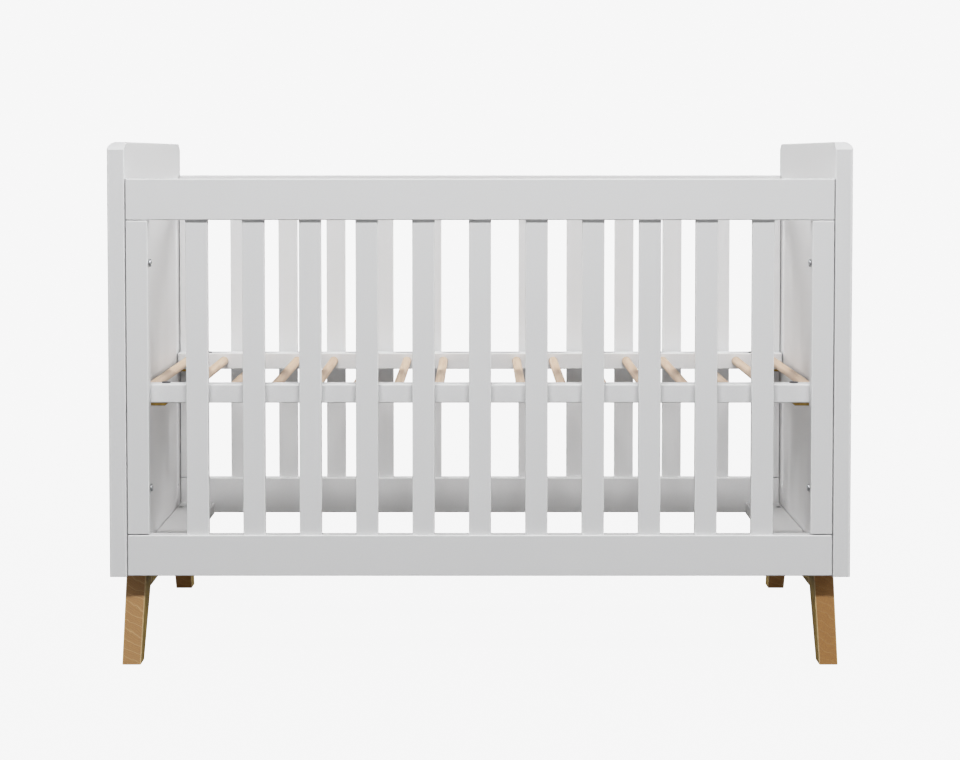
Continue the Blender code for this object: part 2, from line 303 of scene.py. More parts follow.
class Shader:
    """A material under construction: its node tree and its Principled shader."""

    def __init__(self, name):
        self.material = bpy.data.materials.new(name)
        self.material.use_nodes = True
        self.tree = self.material.node_tree
        self.surface = self.tree.nodes["Principled BSDF"]

    def node(self, kind, inputs=(), **settings):
        """Add a node; inputs maps sockets to numbers or to other nodes' outputs."""
        made = self.tree.nodes.new("ShaderNode" + kind)
        for key, value in settings.items():
            setattr(made, key, value)
        for socket, value in dict(inputs).items():
            self.feed(made.inputs[socket], value)
        return made

    def feed(self, socket, value):
        """Link another node's output to a socket, or set its constant."""
        if isinstance(value, bpy.types.NodeSocket):
            self.tree.links.new(value, socket)
        else:
            socket.default_value = value

    def math(self, operation, first, second=0.0, third=0.0):
        """One step of arithmetic on numbers or sockets."""
        inputs = {0: first, 1: second, 2: third}
        return self.node("Math", inputs, operation=operation).outputs[0]

    def stretched(self, scale=(1.0, 1.0, 1.0), turn=(0.0, 0.0, 0.0)):
        """Object coordinates in metres, stretched and turned."""
        place = self.node("TexCoord").outputs["Object"]
        return self.node("Mapping", {0: place, 2: turn, 3: scale}).outputs[0]

    def noise(self, place, scale, detail=2.0, roughness=0.5):
        """Noise from 0 to 1, with about scale cells to the metre."""
        inputs = {"Vector": place, "Scale": scale, "Detail": detail, "Roughness": roughness}
        return self.node("TexNoise", inputs).outputs[0]

    def ramp(self, value, stops):
        """A colour that follows a value; each stop is a value and its colour."""
        made = self.node("ValToRGB", {0: value})
        ramp = made.color_ramp
        while len(ramp.elements) < len(stops):
            ramp.elements.new(0.5)
        for element, (place, colour) in zip(ramp.elements, stops):
            element.position = place
            element.color = (*colour, 1.0)
        return made.outputs[0]

    def greys(self, value, stops):
        """A ramp between shades of grey, each given by one number."""
        return self.ramp(value, [(place, (grey,) * 3) for place, grey in stops])

    def grey(self, value):
        """The colour whose three channels all carry a value."""
        return self.node("CombineXYZ", {channel: value for channel in range(3)}).outputs[0]

    def mix(self, share, first, second, blend="MIX"):
        """Blend two colours; a colour is three numbers or a socket."""
        made = self.node("Mix", data_type="RGBA", blend_type=blend)
        self.feed(made.inputs[0], share)
        for socket, colour in ((made.inputs[6], first), (made.inputs[7], second)):
            self.feed(socket, (*colour, 1.0) if isinstance(colour, tuple) else colour)
        return made.outputs[2]

    def swing(self, value, amount, middle=1.0):
        """A factor near middle that follows a 0 to 1 value."""
        return self.math("MULTIPLY_ADD", value, amount, middle - amount / 2)

    def arris(self):
        """1 on the rounded edges of boards, else 0."""
        return self.node("Attribute", attribute_name="arris").outputs["Fac"]

    def own(self, name):
        """A property of the object that carries the material."""
        made = self.node("Attribute", attribute_name=name, attribute_type="OBJECT")
        return made.outputs["Fac"]

    def bump(self, height, distance, strength):
        """Relief of the surface, distance deep where the height goes from 0 to 1."""
        inputs = {"Height": height, "Distance": distance, "Strength": strength}
        self.feed(self.surface.inputs["Normal"], self.node("Bump", inputs).outputs[0])

    def rough(self, value, lowest, span):
        """Set a roughness that follows a 0 to 1 value from its lowest over its span."""
        self.finish(Roughness=self.math("MULTIPLY_ADD", value, span, lowest))

    def finish(self, **sockets):
        """Set or link the shader's own sockets, and give the material."""
        for name, value in sockets.items():
            socket = self.surface.inputs[name.replace("_", " ")]
            self.feed(socket, (*value, 1.0) if isinstance(value, tuple) else value)
        return self.material


# ---------------------------------------------------------------- finishes
# Colours are linear. A scale is in noise cells to the metre, and a fibre, fleck or scratch
# multiplies it along each axis. A roughness is its lowest value and its span.

PAINT_COLOUR = (0.735, 0.737, 0.742)
PAINT_CLOUD = (0.705, 0.708, 0.713)
PAINT_WORN_HIGHLIT_EDGE = (0.90, 0.90, 0.90)
PAINT_SPRAY_SCALE = 420.0
PAINT_CLOUD_SCALE = 7.0
PAINT_WEAR_SCALE = 60.0
PAINT_PEEL_SCALE = 150.0
PAINT_RELIEF = 0.00025
PAINT_ROUGH = (0.36, 0.16)

WOOD_DEEP = (0.200, 0.073, 0.0075)
WOOD_MIDDLE = (0.244, 0.093, 0.0098)
WOOD_LIGHT = (0.290, 0.118, 0.0145)
WOOD_PALE_SHEEN = (0.460, 0.265, 0.125)
WOOD_LINE = (0.520, 0.340, 0.150)
WOOD_EDGE_HIGHLIGHT = (0.600, 0.430, 0.230)
STREAK_DARK = (0.150, 0.080, 0.009)
STREAK_MIDDLE = (0.290, 0.175, 0.026)
STREAK_GOLD = (0.410, 0.265, 0.055)
PALE_SHEEN_SHARE = 0.40
EDGE_HIGHLIGHT_SHARE = 0.60
BAND_PITCH = 0.0145
BAND_SLOPE = 0.45
BAND_WARP = 0.020
BAND_WARP_SCALE = 34.0
BAND_LINE = ((0.0, 0.95), (0.05, 0.60), (0.13, 0.05), (0.97, 0.0))
INNER_BAND_PITCH = BAND_PITCH / 4.3
INNER_BAND_LINE = ((0.0, 0.35), (0.35, 0.0))
LONG_FIBRE = (1.0, 1.0, 0.05)
SHORT_FIBRE = (1.0, 1.0, 0.5)
STREAK_SCALE = 190.0
PORE_SCALE = 900.0
FLECK_SCALE = 620.0
WOOD_RELIEF = 0.0003
WOOD_ROUGH = (0.48, 0.20)
WOOD_IOR = 1.40
# How strongly each leg shows its figure and its painted sheen
LEG_FIGURE_AND_SHEEN = {
    ("front", "left"): 0.80,
    ("front", "right"): 0.20,
    ("rear", "left"): 0.35,
    ("rear", "right"): 0.40,
}
BEAM_FIGURE_AND_SHEEN = 0.40

BEECH_DEEP = (0.660, 0.470, 0.340)
BEECH_MIDDLE = (0.740, 0.560, 0.420)
BEECH_LIGHT = (0.780, 0.620, 0.490)
BEECH_RED = (0.670, 0.460, 0.320)
BEECH_FLECKS = ((0.30, (0.72, 0.66, 0.60)), (0.42, (1.0, 1.0, 1.0)))
BEECH_FLECK_SHARE = 0.8
BEECH_FIBRE = (1.0, 0.035, 1.0)
BEECH_FIBRE_SCALE = 260.0
BEECH_FLECK = (1.0, 0.12, 1.0)
BEECH_FLECK_SCALE = 1100.0
BEECH_RELIEF = 0.0002
BEECH_ROUGH = (0.50, 0.15)
DOWEL_TINT = 0.5
DOWEL_TINT_STEP = 12.9898

STEEL = (0.48, 0.49, 0.50)
STEEL_STAIN = (0.30, 0.31, 0.33)
STEEL_ROUGH = 0.36
DARK_STEEL = (0.16, 0.16, 0.17)
DARK_STAIN = (0.08, 0.08, 0.09)
DARK_ROUGH = 0.45
BRASS = (0.36, 0.22, 0.05)
BRASS_STAIN = (0.12, 0.06, 0.015)
BRASS_ROUGH = 0.42
PLATING_SCALE = 180.0
SCRATCH = (1.0, 0.15, 1.0)
SCRATCH_SCALE = 2500.0
METAL_RELIEF = 0.0001
METAL_ROUGH_SPAN = 0.2


def make_paint():
    """Satin lacquer on board: a fine sprayed texture, a faint cloud and paler edges, partly wear
    and partly a painted highlight.
    """
    shader = Shader("satin_paint")
    place = shader.stretched()
    fine = shader.noise(place, PAINT_SPRAY_SCALE, 3.0, 0.65)
    cloud = shader.noise(place, PAINT_CLOUD_SCALE, 3.0, 0.5)
    # Rounded edges are painted paler: partly worn paint, partly a painted highlight.
    edge_wear_and_highlight = shader.swing(shader.noise(place, PAINT_WEAR_SCALE, 3.0, 0.6), 0.8, 0.4)
    worn_highlit_edge = shader.math("MULTIPLY", shader.arris(), edge_wear_and_highlight)
    colour = shader.mix(shader.swing(cloud, 0.9, 0.5), PAINT_COLOUR, PAINT_CLOUD)
    colour = shader.mix(1.0, colour, shader.grey(shader.swing(fine, 0.10)), "MULTIPLY")
    colour = shader.mix(worn_highlit_edge, colour, PAINT_WORN_HIGHLIT_EDGE)
    peel = shader.math("MULTIPLY_ADD", shader.noise(place, PAINT_PEEL_SCALE), 0.6, fine)
    shader.bump(peel, PAINT_RELIEF, 0.35)
    shader.rough(fine, *PAINT_ROUGH)
    return shader.finish(Base_Color=colour)


def make_leg_wood(name, turn):
    """Oiled hardwood: pale curved bands across the grain, streaks, pores, flecks and a painted
    highlight on the rounded edges.

    The grain runs along Z of the turned coordinates. The bands show on the faces in front
    and behind, as strongly as a piece's own figure says, and the streaks on its sides. The
    same value paints those faces paler: partly paler wood, partly a painted sheen.
    """
    shader = Shader(name)
    place = shader.stretched(turn=turn)
    facing = shader.node("SeparateXYZ", {0: shader.node("TexCoord").outputs["Normal"]})
    beside = shader.math("ABSOLUTE", facing.outputs[0])
    axes = shader.node("SeparateXYZ", {0: place}).outputs
    slanted = shader.math("MULTIPLY_ADD", axes[0], BAND_SLOPE, axes[2])
    warp = shader.math("SUBTRACT", shader.noise(place, BAND_WARP_SCALE), 0.5)
    height = shader.math("MULTIPLY_ADD", warp, BAND_WARP, slanted)
    band = shader.math("FRACT", shader.math("DIVIDE", height, BAND_PITCH))
    inner_band = shader.math("FRACT", shader.math("DIVIDE", height, INNER_BAND_PITCH))

    long_fibre = shader.node("Mapping", {0: place, 3: LONG_FIBRE}).outputs[0]
    streak = shader.noise(long_fibre, STREAK_SCALE, 3.0, 0.6)
    pore = shader.noise(long_fibre, PORE_SCALE, 3.0, 0.7)
    short_fibre = shader.node("Mapping", {0: place, 3: SHORT_FIBRE}).outputs[0]
    fleck = shader.noise(short_fibre, FLECK_SCALE, 3.0)

    plain = shader.ramp(fleck, ((0.30, WOOD_DEEP), (0.50, WOOD_MIDDLE), (0.70, WOOD_LIGHT)))
    stripes = ((0.36, STREAK_DARK), (0.50, STREAK_MIDDLE), (0.66, STREAK_GOLD))
    wood = shader.mix(beside, plain, shader.ramp(streak, stripes))
    line = shader.greys(band, BAND_LINE)
    faint = shader.greys(inner_band, INNER_BAND_LINE)
    both = shader.math("MAXIMUM", line, faint)
    across = shader.math("MULTIPLY", shader.own("figure_and_sheen"), shader.math("SUBTRACT", 1.0, beside))
    # Faces in front and behind are painted paler by this value: partly paler wood, partly a painted
    # sheen.
    wood = shader.mix(shader.math("MULTIPLY", across, PALE_SHEEN_SHARE), wood, WOOD_PALE_SHEEN)
    wood = shader.mix(shader.math("MULTIPLY", both, across), wood, WOOD_LINE)
    wood = shader.mix(1.0, wood, shader.grey(shader.swing(pore, 0.35)), "MULTIPLY")
    # Painted highlight: the rounded edges are painted pale.
    wood = shader.mix(shader.math("MULTIPLY", shader.arris(), EDGE_HIGHLIGHT_SHARE), wood, WOOD_EDGE_HIGHLIGHT)
    shader.bump(shader.math("MULTIPLY_ADD", both, 0.25, pore), WOOD_RELIEF, 0.5)
    shader.rough(pore, *WOOD_ROUGH)
    return shader.finish(Base_Color=wood, IOR=WOOD_IOR)


def make_beech():
    """Plain sanded beech, with short dark flecks and a tint of its own for each rod."""
    shader = Shader("beech_dowel")
    fibre = shader.noise(shader.stretched(BEECH_FIBRE), BEECH_FIBRE_SCALE, 3.0, 0.6)
    fine = shader.noise(shader.stretched(BEECH_FLECK), BEECH_FLECK_SCALE, 3.0, 0.7)
    wood = shader.ramp(fibre, ((0.3, BEECH_DEEP), (0.55, BEECH_MIDDLE), (0.8, BEECH_LIGHT)))
    wood = shader.mix(shader.own("tint"), wood, BEECH_RED)
    flecks = shader.ramp(fine, BEECH_FLECKS)
    wood = shader.mix(BEECH_FLECK_SHARE, wood, flecks, "MULTIPLY")
    shader.bump(fine, BEECH_RELIEF, 0.4)
    shader.rough(fibre, *BEECH_ROUGH)
    return shader.finish(Base_Color=wood)


def make_metal(name, colour, stain, roughness):
    """Plated steel with a cloudy plating and fine scratches."""
    shader = Shader(name)
    cloud = shader.noise(shader.stretched(), PLATING_SCALE, 3.0, 0.6)
    scratch = shader.noise(shader.stretched(SCRATCH), SCRATCH_SCALE, 2.0, 0.6)
    tone = shader.mix(shader.swing(cloud, 1.2, 0.5), colour, stain)
    shader.bump(scratch, METAL_RELIEF, 0.3)
    shader.rough(cloud, roughness - METAL_ROUGH_SPAN / 2, METAL_ROUGH_SPAN)
    return shader.finish(Base_Color=tone, Metallic=1.0)


paint = make_paint()
leg_wood = make_leg_wood("oiled_wood", (0.0, 0.0, 0.0))
beam_wood = make_leg_wood("oiled_wood_beam", (pi / 2, 0.0, 0.0))
beech = make_beech()
steel = make_metal("zinc_plated_steel", STEEL, STEEL_STAIN, STEEL_ROUGH)
dark_steel = make_metal("dark_plated_steel", DARK_STEEL, DARK_STAIN, DARK_ROUGH)
brass = make_metal("yellow_plated_steel", BRASS, BRASS_STAIN, BRASS_ROUGH)


# ---------------------------------------------------------------- end panels

def panel_holes(start, stop, diameter):
    """Round tools along X at every place where the bed base can be bolted."""
    mesh = bmesh.new()
    for _, side in SIDES:
        for z in BASE_BOLT_Z:
            middle = (side * BASE_BOLT_Y, z)
            add_rod(mesh, 0, middle, *sorted((start, stop)), diameter, HOLE_SIDES)
    return mesh


def make_panel(name, end):
    """A solid panel: round outer top edge, cut top corners, soft upright edges."""
    node = "end_panel_" + name
    low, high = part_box(node)
    inner, outer = (low.x, high.x) if end > 0 else (high.x, low.x)
    across = rounded(
        [(inner, low.z), (outer, low.z), (outer, high.z), (inner, high.z)],
        [SMALL_ROUND, SMALL_ROUND, PANEL_TOP_ROUND, PANEL_INNER_ROUND],
        PANEL_TOP_STEPS,
    )
    shoulder = high.z - PANEL_CUT_DROP
    face = [
        (low.y, low.z),
        (high.y, low.z),
        (high.y, shoulder),
        (high.y - PANEL_CUT_RUN, high.z),
        (low.y + PANEL_CUT_RUN, high.z),
        (low.y, shoulder),
    ]
    plan = rounded(
        [(inner, low.y), (outer, low.y), (outer, high.y), (inner, high.y)],
        [PANEL_INNER_ROUND, PANEL_OUTER_ROUND, PANEL_OUTER_ROUND, PANEL_INNER_ROUND],
        PANEL_EDGE_STEPS,
    )
    side_view = rounded(face, [SMALL_ROUND] * 6)
    mesh = sweep(across, 1, low.y - TOOL_REACH, high.y + TOOL_REACH)
    cutter = sweep(side_view, 0, low.x - TOOL_REACH, high.x + TOOL_REACH)
    mesh = combine(mesh, cutter, "INTERSECT")
    cutter = sweep(plan, 2, low.z - TOOL_REACH, high.z + TOOL_REACH)
    mesh = combine(mesh, cutter, "INTERSECT")
    seat = outer - end * HEAD_SEAT_DEPTH
    mesh = combine(mesh, panel_holes(seat, outer + end * TOOL_REACH, HEAD_SEAT))
    through = panel_holes(inner - end * TOOL_REACH, seat + end * TOOL_OVERLAP, BOLT_HOLE)
    mesh = combine(mesh, through)
    piece("panel_" + name, mesh, FRAME_BODY, paint, [node])


# ---------------------------------------------------------------- side frames

def mortises(slats, low_z, high_z):
    """Tools for the mortises of some slats, between two heights."""
    mesh = bmesh.new()
    for slat in slats:
        low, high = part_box(slat)
        low_corner, high_corner = (low.x - FIT, low.y - FIT), (high.x + FIT, high.y + FIT)
        add_mesh(mesh, sweep(rectangle(low_corner, high_corner, SLAT_ROUND), 2, low_z, high_z))
    return mesh


def make_rail(side_name, level, slats):
    """The top or bottom rail of a side frame, mortised for its slats."""
    node = f"{side_name}_{level}_rail"
    low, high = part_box(node)
    mesh = node_board(node, 0, RAIL_ROUND, (1, 0, 0))
    mouth, inward = (low.z, 1) if level == "top" else (high.z, -1)
    reach = sorted((mouth - inward * SLAT_TENON, mouth + inward * (SLAT_TENON + FIT)))
    mesh = combine(mesh, mortises(slats, *reach))
    piece(node + "_painted", mesh, FRAME_BODY, paint, [node])


def make_stile(side_name, end_name):
    """An upright of a side frame, drilled for its two bolts."""
    node = f"{side_name}_stile_{end_name}"
    low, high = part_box(node)
    mesh = node_board(node, 2, STILE_ROUND, (1, 0, 1))
    holes = bmesh.new()
    for z in FRAME_BOLT_Z:
        middle = ((low.y + high.y) / 2, z)
        add_rod(holes, 0, middle, low.x - TOOL_REACH, high.x + TOOL_REACH, BOLT_HOLE)
    mesh = combine(mesh, holes)
    piece(node + "_painted", mesh, FRAME_BODY, paint, [node])


def make_side_frame(side_name):
    """Slats, two rails and two stiles."""
    slats = [f"{side_name}_slat_{number:02d}" for number in range(1, SLAT_COUNT + 1)]
    for slat in slats:
        mesh = node_board(slat, 2, SLAT_ROUND)
        piece(slat + "_painted", mesh, FRAME_BODY, paint, [slat])
    for level in ("top", "bottom"):
        make_rail(side_name, level, slats)
    for end_name, _ in ENDS:
        make_stile(side_name, end_name)


# ---------------------------------------------------------------- bottom boards and legs

def make_bottom_board(name, end):
    """The board over a leg frame, counterbored for the two leg bolts."""
    node = "bottom_board_" + name
    low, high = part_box(node)
    mesh = node_board(node, 1, BOARD_ROUND, (1, 1, 0))
    seat = high.z - COUNTERBORE_DEPTH
    cuts = (
        (seat, high.z + TOOL_REACH, COUNTERBORE, HOLE_SIDES),
        (low.z - TOOL_REACH, seat + TOOL_OVERLAP, LEG_BOLT_HOLE, DRILL_SIDES),
    )
    for start, stop, diameter, sides in cuts:
        holes = bmesh.new()
        for _, side in SIDES:
            middle = (end * LEG_BOLT_PLACE[0], side * LEG_BOLT_PLACE[1])
            add_rod(holes, 2, middle, start, stop, diameter, sides)
        mesh = combine(mesh, holes)
    piece(node + "_painted", mesh, FRAME_BODY, paint, [node])


def turn_of(first, second, third):
    """Above 0 where three flat points turn counterclockwise."""
    one, two = Vector(second) - Vector(first), Vector(third) - Vector(second)
    return one.x * two.y - one.y * two.x


def end_outline(node):
    """Corners of the convex outline of a CAD prism along X, counterclockwise in Y and Z."""
    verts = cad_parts[node].data.vertices
    ordered = sorted({(round(vert.co.y, 5), round(vert.co.z, 5)) for vert in verts})
    outline = []
    for points in (ordered, ordered[::-1]):
        part = []
        for point in points:
            while len(part) > 1 and turn_of(part[-2], part[-1], point) < STRAIGHT_TURN:
                part.pop()
            part.append(point)
        outline += part[:-1]
    return outline


def node_prism(node):
    """The solid of a CAD prism along X, with rounded edges."""
    low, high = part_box(node)
    corners = end_outline(node)
    mesh = sweep(rounded(corners, [SMALL_ROUND] * len(corners)), 0, low.x, high.x)
    soften_ends(mesh, 0, LEG_ROUND)
    return mesh


def make_leg(side_name, end_name):
    """A leg that narrows towards its foot, with its outer face upright."""
    node = f"leg_{side_name}_{end_name}"
    low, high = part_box(node)
    mesh = node_prism(node)
    outer = high.x if high.x > 0 else low.x
    for vert in mesh.verts:
        fall = (high.z - vert.co.z) / (high.z - low.z)
        vert.co.x = outer + (vert.co.x - outer) * (1 - LEG_TAPER * fall)
    thing = piece(node + "_oiled", mesh, FRAME_BODY, leg_wood, [node])
    thing["figure_and_sheen"] = LEG_FIGURE_AND_SHEEN[side_name, end_name]


def make_beam(end_name):
    """The beam between the two legs of an end."""
    node = "leg_beam_" + end_name
    mesh = node_prism(node)
    thing = piece(node + "_oiled", mesh, FRAME_BODY, beam_wood, [node])
    thing["figure_and_sheen"] = BEAM_FIGURE_AND_SHEEN


# ---------------------------------------------------------------- bed base

def make_base_rail(side_name, side, dowels):
    """A long rail of the bed base, with sockets for the dowels and holes for its nuts."""
    node = f"base_{side_name}_rail"
    low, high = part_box(node)
    inner = low.y if side > 0 else high.y
    mesh = node_board(node, 0, RAIL_ROUND)
    holes = bmesh.new()
    middle_z = (low.z + high.z) / 2
    for dowel in dowels:
        rod_low, rod_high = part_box(dowel)
        ends = sorted((inner - side * DOWEL_SOCKET, inner + side * (DOWEL_SOCKET + FIT)))
        place = ((rod_low.x + rod_high.x) / 2, middle_z)
        add_rod(holes, 1, place, *ends, rod_high.z - rod_low.z + 2 * FIT, HOLE_SIDES)
    for _, end in ENDS:
        place = (end * BARREL_NUT_X, side * BASE_BOLT_Y)
        bottom = middle_z - BARREL_NUT_HOLE_DROP
        add_rod(holes, 2, place, bottom, high.z + TOOL_REACH, BARREL_NUT_HOLE, HOLE_SIDES)
    mesh = combine(mesh, holes)
    piece(node + "_painted", mesh, BASE_BODY, paint, [node])


def make_dowel(number, node):
    """A round rod of the bed base; its number sets its tint."""
    low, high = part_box(node)
    middle = ((low.x + high.x) / 2, (low.z + high.z) / 2)
    mesh = sweep(circle(middle, high.z - low.z, DOWEL_SIDES), 1, low.y, high.y)
    soften_ends(mesh, 1, END_ROUND, 2)
    thing = piece(node + "_beech", mesh, BASE_BODY, beech, [node])
    thing["tint"] = DOWEL_TINT * abs(sin(DOWEL_TINT_STEP * number)) ** 2


def make_base():
    """The bed base: two rails and the dowels between them."""
    dowels = sorted(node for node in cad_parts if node.startswith("base_dowel"))
    for side_name, side in SIDES:
        make_base_rail(side_name, side, dowels)
    for number, node in enumerate(dowels):
        make_dowel(number, node)


# ---------------------------------------------------------------- fasteners

def turned(rings):
    """A closed solid of rings (radius, height, is hexagonal), its first and last ones capped."""
    mesh = bmesh.new()
    loops = []
    for radius, height, hexagonal in rings:
        loop = []
        for step in range(HEAD_SIDES):
            angle = 2 * pi * step / HEAD_SIDES
            flat = cos((angle % (pi / 3)) - pi / 6) if hexagonal else 1.0
            reach = radius / flat
            loop.append(mesh.verts.new((reach * cos(angle), reach * sin(angle), height)))
        loops.append(loop)
    for lower, upper in zip(loops, loops[1:]):
        for step in range(HEAD_SIDES):
            after = (step + 1) % HEAD_SIDES
            mesh.faces.new((lower[step], lower[after], upper[after], upper[step]))
    mesh.faces.new(loops[0])
    mesh.faces.new(loops[-1])
    bmesh.ops.recalc_face_normals(mesh, faces=mesh.faces[:])
    return mesh


# In both heads the factors are shares of the head's own radius, height and socket.

def button_head(radius, height, depth):
    """A low domed head with a hexagonal socket, on a short length of its shank."""
    shank, socket = BUTTON_SHANK, radius * 0.42
    rings = [(shank, -depth, False), (shank, 0.0, False), (radius * 0.97, 0.0, False)]
    for step in range(DOME_STEPS + 1):
        angle = pi / 2 * step / DOME_STEPS
        reach, rise = 0.62 + 0.38 * cos(angle), 0.15 + 0.85 * sin(angle)
        rings.append((radius * reach, height * rise, False))
    rings.append((socket * 1.22, height, False))
    rings += [(socket, height * 0.93, True), (socket, height * 0.25, True)]
    return turned(rings)


def washer_head(radius, height, depth):
    """A socket head screw on its washer, with a short length of its shank."""
    shank, socket = WASHER_SHANK, radius * 0.5
    rings = [(shank, -depth, False), (shank, 0.0, False)]
    rings += [(WASHER_RADIUS, 0.0, False), (WASHER_RADIUS, WASHER_THICK, False)]
    rings += [(radius, WASHER_THICK, False), (radius, height * 0.85, False)]
    rings += [(radius * 0.92, height, False), (socket * 1.18, height, False)]
    rings += [(socket, height * 0.95, True), (socket, height * 0.4, True)]
    return turned(rings)


def aim(mesh, place, direction):
    """Move a fastener from the origin, its head along +Z, to a place and direction."""
    turn = Vector(direction).to_track_quat("Z", "Y").to_matrix().to_4x4()
    bmesh.ops.transform(mesh, matrix=Matrix.Translation(place) @ turn, verts=mesh.verts[:])
    return mesh


def make_frame_bolts():
    """Two bolts through each stile, their heads inside the crib."""
    for side_name, _ in SIDES:
        for end_name, end in ENDS:
            low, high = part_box(f"{side_name}_stile_{end_name}")
            inner = low.x if end > 0 else high.x
            for number, z in enumerate(FRAME_BOLT_Z, start=1):
                place = (inner, (low.y + high.y) / 2, z)
                mesh = aim(button_head(*BOLT_HEAD, FRAME_BOLT_SHANK), place, (-end, 0, 0))
                name = f"frame_bolt_{side_name}_{end_name}_{number}"
                piece(name, mesh, FRAME_BODY, steel)


def make_leg_bolts():
    """Bolts down through the bottom boards into the legs, in their counterbores."""
    for end_name, end in ENDS:
        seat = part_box("bottom_board_" + end_name)[1].z - COUNTERBORE_DEPTH
        for side_name, side in SIDES:
            place = (end * LEG_BOLT_PLACE[0], side * LEG_BOLT_PLACE[1], seat)
            mesh = aim(washer_head(*LEG_BOLT_HEAD, LEG_BOLT_SHANK), place, (0, 0, 1))
            piece(f"leg_bolt_{side_name}_{end_name}", mesh, FRAME_BODY, dark_steel)


def make_base_bolts():
    """Bolts through the panels into the bed base; each rides with the base."""
    for end_name, end in ENDS:
        low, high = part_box("end_panel_" + end_name)
        seat = high.x - HEAD_SEAT_DEPTH if end > 0 else low.x + HEAD_SEAT_DEPTH
        for side_name, side in SIDES:
            place = (seat, side * BASE_BOLT_Y, BASE_BOLT_Z[0])
            mesh = aim(button_head(*BOLT_HEAD, BASE_BOLT_SHANK), place, (end, 0, 0))
            piece(f"base_bolt_{side_name}_{end_name}", mesh, BASE_BODY, steel)


def make_barrel_nuts():
    """Cross nuts in the base rails, each under a low cap with a slot for a screwdriver."""
    for side_name, side in SIDES:
        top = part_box(f"base_{side_name}_rail")[1].z
        for end_name, end in ENDS:
            place = (end * BARREL_NUT_X, side * BASE_BOLT_Y)
            mesh = sweep(circle(place, BARREL_NUT_CAP, NUT_SIDES), 2, top, top + NUT_RISE)
            soften_ends(mesh, 2, NUT_ROUND, 2)
            shank = circle(place, BARREL_NUT_HOLE - 2 * FIT, NUT_SIDES)
            mesh = combine(mesh, sweep(shank, 2, top - NUT_DEPTH, top + NUT_ROUND), "UNION")
            reach = Vector((NUT_SLOT_LENGTH / 2, NUT_SLOT_WIDTH / 2))
            slot = rectangle(Vector(place) - reach, Vector(place) + reach, NUT_SLOT_ROUND)
            mesh = combine(mesh, sweep(slot, 2, top + NUT_ROUND, top + 2 * NUT_RISE))
            piece(f"barrel_nut_{side_name}_{end_name}", mesh, BASE_BODY, dark_steel)


def make_support_plates():
    """Small plates under the ends of the base rails, their inner corners cut."""
    for side_name, _ in SIDES:
        low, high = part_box(f"base_{side_name}_rail")
        for end_name, end in ENDS:
            tip = high.x if end > 0 else -low.x
            start, stop = end * (tip - PLATE_LENGTH), end * (tip - PLATE_END_GAP)
            cut = start + end * PLATE_CUT
            bottom, top = low.z - PLATE_THICK - FIT, low.z - FIT
            corners = [(start, top), (stop, top), (stop, bottom), (cut, bottom)]
            if end < 0:
                corners = corners[::-1]
            outline = rounded(corners, [PLATE_ROUND] * 4, 2)
            mesh = sweep(outline, 1, low.y + PLATE_SIDE_GAP, high.y - PLATE_SIDE_GAP)
            soften_ends(mesh, 1, PLATE_EDGE_ROUND, 2)
            piece(f"support_plate_{side_name}_{end_name}", mesh, BASE_BODY, brass)


# ---------------------------------------------------------------- the crib

for end_name, end in ENDS:
    make_panel(end_name, end)
    make_bottom_board(end_name, end)
    make_beam(end_name)
for side_name, _ in SIDES:
    make_side_frame(side_name)
for side_name, _ in SIDES:
    for end_name, _ in ENDS:
        make_leg(side_name, end_name)
make_base()
make_frame_bolts()
make_leg_bolts()
make_base_bolts()
make_barrel_nuts()
make_support_plates()


# ---------------------------------------------------------------- studio

WHITEST = 0.95
FILM_LEVELS = (0.0, 0.1, 0.25, 0.5, 0.8, 1.2, 1.8, 2.6, 4.0, 6.0)
BACKGROUND = 3.35
AMBIENT = 0.02
FLOOR_SIZE = 60.0
FLOOR_COLOUR = (0.76, 0.76, 0.765)
FLOOR_CLOUD = 0.985
FLOOR_CLOUD_SCALE = 3.0
FLOOR_BOUNCE = (0.08, 0.08, 0.08)
FLOOR_DROP = 0.0002
FLOOR_SHADE = 0.10
SHADE_NEAR = 1.2
SHADE_FAR = 3.5

# Lamps: the side ones stand left and right, at their x outwards, and aim at a low point
KEY_DISTANCE = 5.0
KEY_LIFT = radians(48)
KEY_SIZE = (2.6, 0.30)
KEY_POWER = 354.0
LOW_FRONT_PLACE = (0.0, -5.0, 0.3)
LOW_FRONT_SIZE = (4.0, 0.5)
LOW_FRONT_POWER = 40.0
SIDE_LAMPS = (("rear", (2.6, 2.4, 1.8), 142.0), ("overhead", (2.6, 0.2, 2.6), 45.0))
SIDE_SIZE = (1.2, 1.2)
SIDE_TARGET = (0.0, 0.0, 0.5)
FRONT_SIDE_PLACE = (4.0, -1.0, 1.6)
FRONT_SIDE_SIZE = (2.4, 2.4)
FRONT_SIDE_POWER = {"left": 45.0, "right": 90.0}


def make_film():
    """A film-like tone curve: even in the dark tones, rolling off towards the whitest one."""
    view = bpy.context.scene.view_settings
    view.view_transform = "Standard"
    view.use_curve_mapping = True
    mapping = view.curve_mapping
    brightest = FILM_LEVELS[-1]
    mapping.white_level = (brightest,) * 3
    points = mapping.curves[3].points
    for level in FILM_LEVELS[1:-1]:
        points.new(level / brightest, WHITEST * (1 - exp(-level / WHITEST)))
    points[-1].location = (1.0, WHITEST * (1 - exp(-brightest / WHITEST)))
    mapping.update()


def make_world():
    """White seen by the camera, and a weaker even light for everything else."""
    world = bpy.data.worlds.new("studio")
    bpy.context.scene.world = world
    world.use_nodes = True
    tree = world.node_tree
    background = tree.nodes["Background"]
    path = tree.nodes.new("ShaderNodeLightPath")
    strength = tree.nodes.new("ShaderNodeMapRange")
    strength.inputs["To Min"].default_value = AMBIENT
    strength.inputs["To Max"].default_value = BACKGROUND
    tree.links.new(path.outputs["Is Camera Ray"], strength.inputs["Value"])
    tree.links.new(strength.outputs[0], background.inputs["Strength"])
    background.inputs["Color"].default_value = (1.0, 1.0, 1.0, 1.0)


